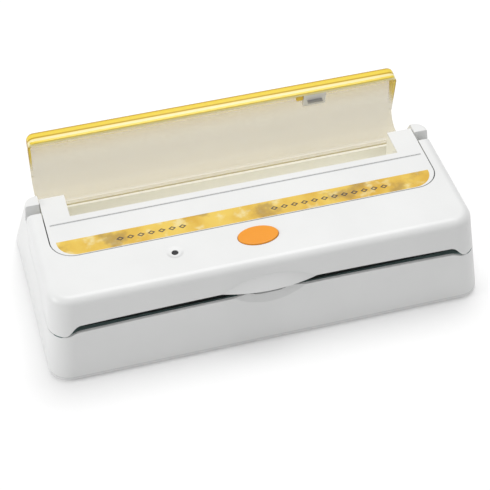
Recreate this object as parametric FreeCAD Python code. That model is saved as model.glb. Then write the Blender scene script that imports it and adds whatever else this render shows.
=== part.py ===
import FreeCAD, Part
import math
import os
from FreeCAD import Vector

# A household vacuum sealer with a roll compartment.
# A hinged lid covers the sealing deck along the front. A fixed housing behind it holds the bag roll
# in a round trough, under a clear cover that is shown swung open and carries a sliding cutter.
# Origin: middle of the footprint on the table. +X right as seen from the front, +Y to the rear, +Z up.

# Body envelope: four drafted walls, the rear one leaning well forward
body_length = 384.0
body_depth = 196.5
body_height = 84.5
foot_height = 1.5
draft_angle = 6.0
rear_lean = 32.1
front_corner_radius = 19.0
rear_corner_radius = 10.0
wall = 2.6
top_edge_radius = 8.0

# Parting line between base and lid, as heights above the underside
plate_band = 4.3
plate_reveal = 0.4
plate_edge_radius = 2.5
floor_thickness = 2.5
side_seam_height = 57.2
front_edge_height = 52.7
slot_height = 7.2
slot_arch = 2.2
corner_edge_height = 46.8
seam_gap = 0.8
slot_inset = 32.0
slot_half = body_length / 2 - slot_inset
slot_end_inset = 15.0
slot_end_half = body_length / 2 - slot_end_inset
dip_start = 34.0
dip_end = 72.0

# Sealing deck behind the front wall
deck_height = 49.5
deck_thickness = 2.5
deck_rim_depth = 6.0
deck_overlap = 12.0

# Finger recess in the base and pull lip on the lid
recess_half = 32.0
recess_depth = 4.0
recess_rise = 10.4
lip_half = 41.5
lip_reach = 6.8
lip_rise = 11.7

# Lid
lid_wall = 2.0
lid_top = 2.5
lid_gap = 1.0
arm_setback = 75.5
arm_end = body_depth - arm_setback
heel_opening = 2.0
boss_radius = 4.5
boss_length = 1.6
liner_thickness = 2.2
liner_rise = 0.6
liner_gap = 0.3

# Ears, and the lugs in front of them that carry the lid's pins
ear_setback = 66.0
ear_front = body_depth - ear_setback
ear_height = 86.5
ear_edge_radius = 1.5
pivot_setback = 83.5
pivot_distance = body_depth - pivot_setback
pivot_height = 76.5
shelf_drop = 5.0
pin_radius = 2.0
pin_clearance = 0.05
pin_end_wall = 1.2
lug_radius = 3.5
lug_width = 4.5
side_play = 0.6

# Roll housing
housing_front = 61.5
housing_inset = 21.7
housing_half = body_length / 2 - housing_inset
housing_corner_radius = 20.0
housing_wall = 2.5
trough_setback = 86.2
trough_front = body_depth - trough_setback
trough_radius = 21.3
trough_axis_height = 55.5
trough_rear_rise = 1.4
end_block_length = 22.3
end_block_inner = housing_half - end_block_length
end_block_setback = 57.5
end_block_rear = body_depth - end_block_setback
groove_setback = 94.5
groove_distance = body_depth - groove_setback
groove_width = 1.4
groove_depth = 1.0
groove_inset = 3.3
groove_half = housing_half - groove_inset
rear_flange_height = 47.6
rear_flange_thickness = 2.0
cheek_gap = 0.6
cheek_thickness = 2.2
cheek_depth_below = 24.0

# Trim strip let into the housing top
trim_margin = 0.5
trim_depth = 18.9
trim_inset = 4.8
trim_half = housing_half - trim_inset
trim_corner_radius = 17.5
trim_thickness = 0.4

# Roll cover, drawn closed and then swung open
cover_pivot_setback = 37.5
cover_pivot_distance = body_depth - cover_pivot_setback
cover_pivot_height = 54.0
cover_swing = 79.0
cover_end_gap = 0.3
cover_half = housing_half - cover_end_gap
cover_wall = 2.2
cover_end_wall = 2.5
cover_seat_gap = 0.5
cover_reach = 56.2
cover_rim_height = 7.5
cover_shoulder = 4.8
cover_back_reach = 10.0
cover_back_height = 4.0
cover_bend_reach = 0.6
cover_bend_drop = 1.6
cover_skirt_reach = 5.5
cover_skirt_height = 14.0
barrel_radius = 3.5
cover_pin_radius = 1.5
cover_pin_depth = 10.0
rim_bar_depth = 5.6
rim_bar_height = 5.4

# Cutter that slides along a slot behind the cover's rim
cutter_slot_front = 46.6
cutter_slot_width = 3.0
cutter_slot_inset = 21.0
cutter_slot_half = cover_half - cutter_slot_inset
cutter_place = 93.0
cutter_length = 21.0
cutter_front = 50.0
cutter_depth = 15.0
cutter_thickness = 4.2
cutter_floor_gap = 2.0
cutter_play = 0.4
cutter_edge_radius = 1.0
knob_length = 17.0
knob_depth = 8.0
knob_height = 4.5
knob_edge_radius = 1.5
blade_length = 14.0
blade_thickness = 0.6
blade_drop = 4.0
blade_inset = 7.5

# Sealing parts on the deck and under the lid
heater_front = 13.0
heater_width = 8.6
heater_inset = 35.0
heater_half = body_length / 2 - heater_inset
heater_height = 2.4
pressure_edge_radius = 2.1
element_width = 3.0
element_thickness = 0.2
tape_thickness = 0.2
gasket_front = 25.0
gasket_depth = 31.5
gasket_inset = 29.0
gasket_half = body_length / 2 - gasket_inset
gasket_width = 5.0
gasket_radius = 12.0
gasket_height = 4.0
soft_gap = 0.3

# Seal button and indicator on the lid
button_distance = 41.6
button_half_length = 18.0
button_half_depth = 11.5
button_play = 0.4
button_proud = 1.2
button_edge_radius = 0.9
button_flange = 1.4
button_flange_thickness = 1.5
button_wall = 2.0
button_travel = 1.5
button_stem_radius = 2.4
collar_wall = 1.8
collar_depth = 7.0
indicator_place = -72.0
indicator_radius = 3.0
indicator_dish_radius = 7.2
indicator_dish_depth = 0.7
indicator_flange = 1.0
spring_radius = 5.4
spring_wire = 0.45
spring_turns = 4

# Lid board under button and indicator
board_thickness = 1.6
board_margin = 13.0
board_depth = 22.0
board_post_height = 4.5
board_post_radius = 2.6
switch_size = 6.0
switch_height = 3.0
lamp_radius = 2.3

# Vacuum path
nozzle_place = 112.0
nozzle_distance = 43.0
nozzle_radius = 4.0
nozzle_bore = 2.5
nozzle_flange_radius = 7.0
nozzle_flange_thickness = 1.4
nozzle_length = 14.0
hose_wall = 1.5
hose_grip = 9.0
hose_clearance = 0.05
hose_bend_radius = 9.5
port_height = 20.0
port_length = 6.0

# Pump, transformer and boards, standing on the bottom plate
bay_depth = trough_front - housing_front
motor_radius = 16.5
motor_length = 52.0
motor_nose_radius = 7.0
motor_nose_length = 4.0
pump_length = 36.0
pump_room = 6.4
pump_depth = bay_depth - 2 * pump_room
pump_height = 40.0
pump_edge_radius = 4.5
bracket_thickness = 2.0
bracket_tail = 44.0
core_place = -100.0
core_length = 57.0
core_room = 10.4
core_stack = bay_depth - 2 * core_room
core_height = 42.0
core_leg = 9.5
coil_gap = 0.4
coil_overhang = 6.0
coil_edge_radius = 3.0
control_place = -15.0
control_length = 120.0
control_front = 26.0
control_room = 21.9
control_depth = (housing_front + trough_front) / 2 - control_room - control_front
control_distance = control_front + control_depth / 2
control_rise = 10.0
standoff_radius = 3.2
relay_offset = 22.8
relay_length = 21.6
relay_depth = 15.2
relay_height = 10.0
sink_offset = 64.8
sink_length = 28.8
sink_thickness = 4.6
sink_setback = 7.0
sink_height = 20.0
capacitor_offset = 91.2
capacitor_pitch = 14.4
capacitor_radius = 5.0
capacitor_height = 15.0
lid_switch_inset = 36.0
lid_switch_place = lid_switch_inset - body_length / 2
lid_switch_length = 20.0
lid_switch_depth = 7.0
lid_switch_height = 11.0
plunger_radius = 1.2
plunger_rise = 2.0

# Fasteners, feet and cord gland
foot_radius = 8.0
foot_recess = 1.0
foot_edge_radius = 0.5
foot_inset = 34.0
foot_place_x = body_length / 2 - foot_inset
foot_place_front = 24.0
foot_setback = 28.5
foot_place_rear = body_depth - foot_setback
screw_radius = 1.5
screw_head_radius = 3.0
screw_head_height = 1.6
screw_length = 14.0
screw_clearance = 0.1
post_radius = 4.2
post_bite = 1.0
plate_screw_inset = 52.0
plate_screw_x = body_length / 2 - plate_screw_inset
plate_screw_front = 20.0
plate_screw_setback = 26.5
plate_screw_rear = body_depth - plate_screw_setback
housing_screw_inset = 50.3
housing_screw_x = housing_half - housing_screw_inset
lid_screw_inset = 52.0
lid_screw_left = -105.0
lid_screw_right = 60.0
lid_screw_end = body_length / 2 - lid_screw_inset
lid_screw_x = (-lid_screw_end, lid_screw_left, lid_screw_right, lid_screw_end)
gland_inset = 62.0
gland_place = gland_inset - body_length / 2
gland_height = 24.0
gland_radius = 7.0
gland_bore = 3.6
gland_flange = 2.6
gland_flange_thickness = 2.0
gland_inside = 6.0

# Worked-out places
front_y = -body_depth / 2
rear_y = body_depth / 2
underside_z = foot_height
top_z = underside_z + body_height
seat_z = underside_z + plate_band
floor_z = underside_z + floor_thickness
deck_z = underside_z + deck_height
ear_top_z = underside_z + ear_height
front_edge_z = underside_z + front_edge_height
lid_edge_z = front_edge_z + slot_height
liner_z = lid_edge_z + liner_rise
ear_front_y = front_y + ear_front
arm_end_y = front_y + arm_end
pivot_y = front_y + pivot_distance
pivot_z = underside_z + pivot_height
housing_front_y = front_y + housing_front
trough_front_y = front_y + trough_front
trough_axis_y = trough_front_y + trough_radius
trough_axis_z = underside_z + trough_axis_height
trough_rear_y = trough_axis_y + trough_radius
end_block_rear_y = front_y + end_block_rear
rear_flange_z = underside_z + rear_flange_height
cheek_inner = housing_half + cheek_gap
cheek_outer = cheek_inner + cheek_thickness
cover_pivot_y = front_y + cover_pivot_distance
cover_pivot_z = underside_z + cover_pivot_height
cover_floor = top_z + cover_seat_gap - cover_pivot_z
bay_y = (housing_front_y + trough_front_y) / 2
button_y = front_y + button_distance
board_z = liner_z + liner_thickness + board_post_height
board_top_z = board_z + board_thickness
nozzle_y = front_y + nozzle_distance
gasket_y = front_y + gasket_front
gasket_rear_y = gasket_y + gasket_depth
heater_y = front_y + heater_front
heater_top_z = deck_z + heater_height
gasket_top_z = deck_z + gasket_height
far = 2 * body_length
near = 0.01
X_AXIS = Vector(1, 0, 0)
Y_AXIS = Vector(0, 1, 0)
Z_AXIS = Vector(0, 0, 1)

os.makedirs("parts", exist_ok=True)


def tangent(degrees):
    return math.tan(math.radians(degrees))


def cosine(degrees):
    return math.cos(math.radians(degrees))


def save(name, shapes):
    solids = shapes if isinstance(shapes, list) else [shapes]
    shape = solids[0] if len(solids) == 1 else Part.makeCompound(solids)
    shape.exportStep("parts/%s.step" % name)


def box(x0, x1, y0, y1, z0, z1):
    return Part.makeBox(x1 - x0, y1 - y0, z1 - z0, Vector(x0, y0, z0))


def rod_x(radius, x0, x1, y, z):
    return Part.makeCylinder(radius, x1 - x0, Vector(x0, y, z), X_AXIS)


def rod_z(radius, x, y, z0, z1):
    return Part.makeCylinder(radius, z1 - z0, Vector(x, y, z0))


def line(a, b):
    return Part.makeLine(a, b)


def arc(a, middle, b):
    return Part.Arc(a, middle, b).toShape()


def ease(a, b, along):
    """A smooth step from a to b that leaves and arrives along one direction."""
    reach = along * ((b - a).dot(along) / 2)
    curve = Part.BezierCurve()
    curve.setPoles([a, a + reach, b - reach, b])
    return curve.toShape()


def prism(edges, sweep):
    return Part.Face(Part.Wire(edges)).extrude(sweep)


def ellipse_prism(half_x, half_y, x, y, z0, z1):
    edge = Part.Ellipse(Vector(x, y, z0), half_x, half_y).toShape()
    return prism([edge], Vector(0, 0, z1 - z0))


def fuse(shapes):
    return shapes[0].multiFuse(shapes[1:]).removeSplitter()


def mirrored(shape):
    return shape.mirror(Vector(0, 0, 0), X_AXIS)


def both_sides(shape):
    return [shape, mirrored(shape)]


def draft_shift(z):
    """How far the drafted front and side walls have moved inwards at height z."""
    return tangent(draft_angle) * (z - underside_z)


def corner(centre, radius, start, end):
    """A quarter circle about a vertical axis, between two angles in degrees."""
    points = []
    for degrees in (start, (start + end) / 2, end):
        turn = math.radians(degrees)
        points.append(centre + Vector(radius * math.cos(turn), radius * math.sin(turn), 0))
    return arc(*points)


def joined(corners):
    """A closed outline: the given corner arcs in order, with straight lines between them."""
    edges = []
    for this, following in zip(corners, corners[1:] + corners[:1]):
        edges += [this, line(this.valueAt(this.LastParameter), following.valueAt(following.FirstParameter))]
    return Part.Wire(edges)


def front_rounded_wire(half, y_front, y_rear, radius, z):
    """A rectangle in plan with rounded front corners."""
    right = corner(Vector(half - radius, y_front + radius, z), radius, 0, -90)
    left = corner(Vector(radius - half, y_front + radius, z), radius, -90, -180)
    rear_right = Vector(half, y_rear, z)
    rear_left = Vector(-half, y_rear, z)
    edges = [line(rear_right, Vector(half, y_front + radius, z)), right]
    edges.append(line(Vector(half - radius, y_front, z), Vector(radius - half, y_front, z)))
    edges += [left, line(Vector(-half, y_front + radius, z), rear_left), line(rear_left, rear_right)]
    return Part.Wire(edges)


def rounded_slab(half, y_front, y_rear, radius, z0, z1):
    """A plate with all four corners rounded in plan."""
    slab = box(-half, half, y_front, y_rear, z0, z1)
    upright = [e for e in slab.Edges if abs(e.tangentAt(e.FirstParameter).z) > 0.5]
    return slab.makeFillet(radius, upright)


def body_block(z_low, z_high, inset):
    """The drafted outline of the body between two heights, open-ended towards the rear."""
    wires = []
    for z in (z_low, z_high):
        shift = draft_shift(z) + inset
        radius = max(front_corner_radius - inset, wall)
        wires.append(front_rounded_wire(body_length / 2 - shift, front_y + shift, rear_y + wall, radius, z))
    return Part.makeLoft(wires, True, True)


def round_topped(block, z, radius):
    """A drafted block with its top edges rounded at the front and sides."""
    edges = []
    for edge in block.Edges:
        if min(v.Z for v in edge.Vertexes) > z - near and edge.CenterOfMass.y < rear_y:
            edges.append(edge)
    return block.makeFillet(radius, edges)


def slope_y(z, inset):
    """Where the leaning rear wall is at height z."""
    return rear_y - (z - underside_z) * tangent(rear_lean) - inset / cosine(rear_lean)


def envelope(z_low, z_high, inset):
    """The whole body outline with its leaning rear wall and four rounded corners."""
    wires = []
    front_radius = max(front_corner_radius - inset, wall)
    rear_radius = max(rear_corner_radius - inset, wall)
    for z in (z_low, z_high):
        shift = draft_shift(z) + inset
        half = body_length / 2 - shift
        y_front = front_y + shift
        y_rear = slope_y(z, inset)
        edges = [
            corner(Vector(half - front_radius, y_front + front_radius, z), front_radius, 0, -90),
            corner(Vector(front_radius - half, y_front + front_radius, z), front_radius, -90, -180),
            corner(Vector(rear_radius - half, y_rear - rear_radius, z), rear_radius, 180, 90),
            corner(Vector(half - rear_radius, y_rear - rear_radius, z), rear_radius, 90, 0),
        ]
        wires.append(joined(edges))
    return Part.makeLoft(wires, True, True)


def above_parting(lift, front_z, y_end):
    """Everything above the parting line: arched along the front, dipping at the front corners."""
    corner_z = underside_z + corner_edge_height + lift
    side_z = underside_z + side_seam_height + lift
    high_z = ear_top_z + body_height
    y_out = front_y - body_depth
    y_split = front_y + dip_start
    arch_z = front_z - slot_arch

    def at(x, z):
        return Vector(x, y_out, z)

    edges = [
        line(at(-far, corner_z), at(-slot_end_half, corner_z)),
        ease(at(-slot_end_half, corner_z), at(-slot_half, arch_z), X_AXIS),
        arc(at(-slot_half, arch_z), at(0, front_z), at(slot_half, arch_z)),
        ease(at(slot_half, arch_z), at(slot_end_half, corner_z), X_AXIS),
        line(at(slot_end_half, corner_z), at(far, corner_z)),
        line(at(far, corner_z), at(far, high_z)),
        line(at(far, high_z), at(-far, high_z)),
        line(at(-far, high_z), at(-far, corner_z)),
    ]
    front = prism(edges, Y_AXIS * (y_split - y_out))

    def beside(y, z):
        return Vector(-far, y, z)

    dip_end_y = front_y + dip_end
    edges = [
        ease(beside(y_split, corner_z), beside(dip_end_y, side_z), Y_AXIS),
        line(beside(dip_end_y, side_z), beside(y_end, side_z)),
        line(beside(y_end, side_z), beside(y_end, high_z)),
        line(beside(y_end, high_z), beside(y_split, high_z)),
        line(beside(y_split, high_z), beside(y_split, corner_z)),
    ]
    return front.fuse(prism(edges, X_AXIS * (2 * far)))


def hinge_space(grow):
    """Room for the lid arms' round ends: over the side ledges and up to the ears' front faces."""
    radius = heel_radius + seam_gap + grow
    ledge_z = underside_z + side_seam_height - grow
    step_y = pivot_y + seam_gap + grow
    step_z = pivot_z - math.sqrt(radius * radius - (step_y - pivot_y) ** 2)
    shelf_z = pivot_z - shelf_drop - grow
    shelf_y = pivot_y + math.sqrt(radius * radius - (pivot_z - shelf_z) ** 2)
    face_y = ear_front_y + grow
    slant = radius * cosine(45)

    def beside(y, z):
        return Vector(-far, y, z)

    edges = [
        line(beside(pivot_y, ledge_z), beside(step_y, ledge_z)),
        line(beside(step_y, ledge_z), beside(step_y, step_z)),
        arc(beside(step_y, step_z), beside(pivot_y + slant, pivot_z - slant), beside(shelf_y, shelf_z)),
        line(beside(shelf_y, shelf_z), beside(face_y, shelf_z)),
        line(beside(face_y, shelf_z), beside(face_y, far)),
        line(beside(face_y, far), beside(pivot_y, far)),
        line(beside(pivot_y, far), beside(pivot_y, ledge_z)),
    ]
    return prism(edges, X_AXIS * (2 * far))


def leaning_rod(radius, y, z, lean):
    """A long rod that leans to the rear as it rises and crosses height z at the given y."""
    direction = Vector(0, math.sin(math.radians(lean)), cosine(lean))
    start = Vector(0, y, z) - direction * far
    return Part.makeCylinder(radius, 2 * far, start, direction)


def arc_radius(half_chord, rise, lean):
    """Radius of a leaning rod whose level section has this half chord and rise."""
    return half_chord * half_chord / (2 * rise * cosine(lean))


def bay(offset, z_low, z_high):
    """The plan of the roll housing, grown by an offset, between two heights."""
    radius = housing_corner_radius + offset
    wire = front_rounded_wire(housing_half + offset, housing_front_y - offset, rear_y, radius, z_low)
    return Part.Face(wire).extrude(Vector(0, 0, z_high - z_low))


def screw(x, y, z, direction):
    """A pan-head screw with its head under z, pointing up, or over z, pointing down."""
    head = Part.makeCylinder(screw_head_radius, screw_head_height, Vector(x, y, z), Z_AXIS * -direction)
    shank = Part.makeCylinder(screw_radius, screw_length, Vector(x, y, z), Z_AXIS * direction)
    return head.fuse(shank).removeSplitter()


# Lid hinge sizes that the lugs, the lid arms and the pins share
heel_radius = math.hypot(arm_end_y - pivot_y, top_z - pivot_z)
arm_inner = housing_half + lid_gap
lug_x0 = arm_inner + lid_wall + boss_length + side_play
lug_x1 = lug_x0 + lug_width
lid_pin_x0 = arm_inner + pin_end_wall
lid_pin_x1 = body_length / 2 - draft_shift(pivot_z) - pin_end_wall
hose_outer = nozzle_radius + hose_wall
plate_screws = [(sx * plate_screw_x, front_y + plate_screw_front) for sx in (-1, 1)]
plate_screws += [(0, front_y + plate_screw_front)]
plate_screws += [(sx * plate_screw_x, front_y + plate_screw_rear) for sx in (-1, 0, 1)]
housing_screw_y = housing_front_y + housing_wall + post_radius - post_bite
housing_screws = [(sx * housing_screw_x, housing_screw_y) for sx in (-1, 1)]
lid_screws = [(x, button_y) for x in lid_screw_x]
gland_y = slope_y(underside_z + gland_height, 0)
gland_z = underside_z + gland_height
rear_normal = Vector(0, cosine(rear_lean), math.sin(math.radians(rear_lean)))
plunger_y = (heater_y + heater_width + tape_thickness + gasket_y) / 2


def make_base_shell():
    """Lower housing: drafted walls, sealing deck, ledges and lugs under the lid arms, and two ears."""
    outer = envelope(seat_z, ear_top_z, 0)
    top_edges = [e for e in outer.Edges if min(v.Z for v in e.Vertexes) > ear_top_z - near]
    outer = outer.makeFillet(ear_edge_radius, top_edges)
    opened = above_parting(0, front_edge_z, pivot_y)
    between_cheeks = box(-cheek_inner, cheek_inner, pivot_y - wall, far, rear_flange_z, far)
    solid = outer.cut([opened, hinge_space(0), between_cheeks])
    shell = solid.cut(envelope(seat_z - wall, ear_top_z - wall, wall))
    deck_low = deck_z - deck_thickness
    deck = body_block(deck_low - deck_rim_depth, deck_z, wall)
    hollow = body_block(deck_low - deck_rim_depth - wall, deck_low, 2 * wall)
    deck_rear = housing_front_y + deck_overlap
    deck = deck.cut(hollow).common(box(-far, far, -far, deck_rear, 0, far))
    ledge_z = underside_z + side_seam_height - wall
    ledge_front = deck_rear - wall
    pieces = [shell, deck]
    ledges = [
        box(cheek_inner, far, ledge_front, pivot_y, ledge_z, far),
        box(cheek_inner, far, ledge_front, deck_rear, deck_low, far),
        box(cheek_inner, cheek_outer, deck_rear, far, rear_flange_z - cheek_depth_below, far),
    ]
    for ledge in ledges:
        pieces += both_sides(solid.common(ledge))
    beside_cheeks = box(cheek_inner, far, pivot_y, far, 0, far)
    pieces += both_sides(solid.common(hinge_space(wall)).common(beside_cheeks))
    lug = box(lug_x0, lug_x1, pivot_y - lug_radius, pivot_y + lug_radius, ledge_z, pivot_z)
    pieces += both_sides(lug.fuse(rod_x(lug_radius, lug_x0, lug_x1, pivot_y, pivot_z)))
    lean = math.degrees(math.atan(recess_depth / recess_rise + tangent(draft_angle)))
    radius = arc_radius(recess_half, recess_depth, lean)
    recess_rear = front_y + draft_shift(front_edge_z) + recess_depth
    recess_axis_y = recess_rear - radius / cosine(lean)
    recess = leaning_rod(radius, recess_axis_y, front_edge_z, lean)
    backing = leaning_rod(radius + wall, recess_axis_y, front_edge_z, lean)
    behind_front = box(-recess_half, recess_half, front_y, far, front_edge_z - recess_rise, deck_z)
    pieces.append(backing.common(behind_front).common(envelope(seat_z, ear_top_z, wall / 2)))
    for x, y in plate_screws:
        post = rod_z(post_radius, x, y, seat_z, deck_low)
        pieces.append(post.common(envelope(seat_z, ear_top_z, wall / 2)))
    base = fuse(pieces)
    holes = [recess]
    for x, y in plate_screws:
        holes.append(rod_z(screw_radius + screw_clearance, x, y, 0, floor_z + screw_length))
    for x, y in housing_screws:
        holes.append(rod_z(screw_radius + screw_clearance, x, y, deck_low - wall, deck_z + wall))
    pin_hole = pin_radius + pin_clearance
    cover_hole = cover_pin_radius + pin_clearance
    holes += both_sides(rod_x(pin_hole, lug_x0 - side_play, lug_x1 + side_play, pivot_y, pivot_z))
    cover_hole_x = cheek_outer + wall
    holes += both_sides(rod_x(cover_hole, cheek_inner - wall, cover_hole_x, cover_pivot_y, cover_pivot_z))
    through = (deck_low - wall, deck_z + wall)
    holes.append(rod_z(nozzle_radius + hose_clearance, nozzle_place, nozzle_y, *through))
    holes.append(rod_z(plunger_radius + soft_gap, lid_switch_place, plunger_y, *through))
    gland_start = Vector(gland_place, gland_y, gland_z) - rear_normal * (2 * wall)
    holes.append(Part.makeCylinder(gland_radius, 4 * wall, gland_start, rear_normal))
    return base.cut(holes)


def make_bottom_plate():
    """Shallow tray that closes the base from below, with standoffs for the control board."""
    outer = envelope(underside_z, seat_z, plate_reveal)
    low_edges = [e for e in outer.Edges if max(v.Z for v in e.Vertexes) < underside_z + near]
    outer = outer.makeFillet(plate_edge_radius, low_edges)
    tray = outer.cut(envelope(floor_z, seat_z + wall, plate_reveal + wall))
    pieces = [tray]
    for x, y in plate_screws:
        pieces.append(rod_z(post_radius, x, y, floor_z, seat_z))
    for x, y in standoff_places():
        pieces.append(rod_z(standoff_radius, x, y, floor_z, floor_z + control_rise))
    plate = fuse(pieces)
    holes = [rod_z(foot_radius, x, y, 0, underside_z + foot_recess) for x, y in foot_places()]
    for x, y in plate_screws:
        holes.append(rod_z(screw_radius + screw_clearance, x, y, 0, seat_z + wall))
        holes.append(rod_z(screw_head_radius + soft_gap, x, y, 0, underside_z + screw_head_height))
    return plate.cut(holes)


def foot_places():
    rows = (front_y + foot_place_front, front_y + foot_place_rear)
    return [(sx * foot_place_x, y) for sx in (-1, 1) for y in rows]


def standoff_places():
    reach_x = control_length / 2 - standoff_radius
    reach_y = control_depth / 2 - standoff_radius
    y = front_y + control_distance
    return [(control_place + sx * reach_x, y + sy * reach_y) for sx in (-1, 1) for sy in (-1, 1)]


def make_feet():
    feet = []
    for x, y in foot_places():
        foot = rod_z(foot_radius, x, y, 0, underside_z + foot_recess)
        rim = [e for e in foot.Edges if max(v.Z for v in e.Vertexes) < near]
        feet.append(foot.makeFillet(foot_edge_radius, rim))
    return feet


def make_roll_housing():
    """Fixed top panel, half-round trough and end blocks in one moulding."""
    inside_z = top_z - housing_wall
    shell = bay(0, deck_z, top_z)
    hollow = bay(-housing_wall, deck_z - wall, inside_z)
    front_half = box(-far, far, -far, trough_front_y, 0, far)
    shell = shell.cut(hollow).common(front_half)

    def section(y, z):
        return Vector(-housing_half, y, z)

    outer_radius = trough_radius + housing_wall
    trough_rear_z = trough_axis_z + trough_rear_rise
    edges = [
        line(section(trough_front_y, top_z), section(trough_front_y, trough_axis_z)),
        arc(
            section(trough_front_y, trough_axis_z),
            section(trough_axis_y, trough_axis_z - trough_radius),
            section(trough_rear_y, trough_axis_z),
        ),
        line(section(trough_rear_y, trough_axis_z), section(trough_rear_y, trough_rear_z)),
        line(section(trough_rear_y, trough_rear_z), section(trough_rear_y + housing_wall, trough_rear_z)),
        line(
            section(trough_rear_y + housing_wall, trough_rear_z),
            section(trough_rear_y + housing_wall, trough_axis_z),
        ),
        arc(
            section(trough_rear_y + housing_wall, trough_axis_z),
            section(trough_axis_y, trough_axis_z - outer_radius),
            section(trough_front_y - housing_wall, trough_axis_z),
        ),
        line(
            section(trough_front_y - housing_wall, trough_axis_z),
            section(trough_front_y - housing_wall, top_z),
        ),
        line(section(trough_front_y - housing_wall, top_z), section(trough_front_y, top_z)),
    ]
    trough = prism(edges, X_AXIS * (2 * housing_half))
    flange_rear = slope_y(rear_flange_z + rear_flange_thickness, 0)
    flange = box(-housing_half, housing_half, trough_axis_y, flange_rear, rear_flange_z,
                 rear_flange_z + rear_flange_thickness)
    round_well = rod_x(trough_radius, -housing_half, housing_half, trough_axis_y, trough_axis_z)
    end_plate = bay(0, trough_axis_z - outer_radius, top_z).common(
        box(housing_half - housing_wall, far, trough_front_y - housing_wall, end_block_rear_y, 0, far))
    low_plate = box(housing_half - housing_wall, housing_half, trough_front_y - housing_wall,
                    trough_rear_y + housing_wall, trough_axis_z, trough_rear_z)
    disc = rod_x(outer_radius, housing_half - housing_wall, housing_half, trough_axis_y, trough_axis_z)
    disc = disc.common(box(0, far, -far, far, 0, trough_axis_z))
    block = box(end_block_inner, housing_half, trough_front_y, end_block_rear_y,
                trough_axis_z - trough_radius, top_z)
    hollow = box(end_block_inner + housing_wall, housing_half - housing_wall, trough_front_y,
                 end_block_rear_y - housing_wall, 0, inside_z)
    below = box(end_block_inner, housing_half, trough_front_y, end_block_rear_y, 0, trough_axis_z)
    block = block.cut(hollow).cut(below.cut(round_well))
    pieces = [shell, trough, flange.cut(round_well)]
    for piece in (end_plate, low_plate, disc, block):
        pieces += both_sides(piece)
    for x, y in housing_screws:
        pieces.append(rod_z(post_radius, x, y, deck_z, inside_z))
    housing = fuse(pieces)
    groove_y = front_y + groove_distance
    cuts = [box(-groove_half, groove_half, groove_y, groove_y + groove_width, top_z - groove_depth, far)]
    cuts.append(trim_shape(far))
    for x, y in housing_screws:
        cuts.append(rod_z(screw_radius + screw_clearance, x, y, 0, deck_z - deck_thickness + screw_length))
    return housing.cut(cuts)


def trim_shape(height):
    """The strip's plan, from the bottom of its recess up."""
    y0 = housing_front_y + trim_margin
    wire = front_rounded_wire(trim_half, y0, y0 + trim_depth, trim_corner_radius, top_z - trim_thickness)
    return Part.Face(wire).extrude(Vector(0, 0, height))


def arm_limit(offset):
    """Region in front of the lid arms' rear ends, which are round about the pivot and flat above it."""
    radius = heel_radius - offset
    arm_y = arm_end_y - offset
    flat_z = pivot_z + math.sqrt(radius * radius - (arm_y - pivot_y) ** 2)

    def beside(y, z):
        return Vector(-far, y, z)

    edges = [
        line(beside(-far, -far), beside(pivot_y, -far)),
        line(beside(pivot_y, -far), beside(pivot_y, pivot_z - radius)),
        arc(beside(pivot_y, pivot_z - radius), beside(pivot_y + radius, pivot_z), beside(arm_y, flat_z)),
        line(beside(arm_y, flat_z), beside(arm_y, far)),
        line(beside(arm_y, far), beside(-far, far)),
        line(beside(-far, far), beside(-far, -far)),
    ]
    return prism(edges, X_AXIS * (2 * far))


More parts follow.
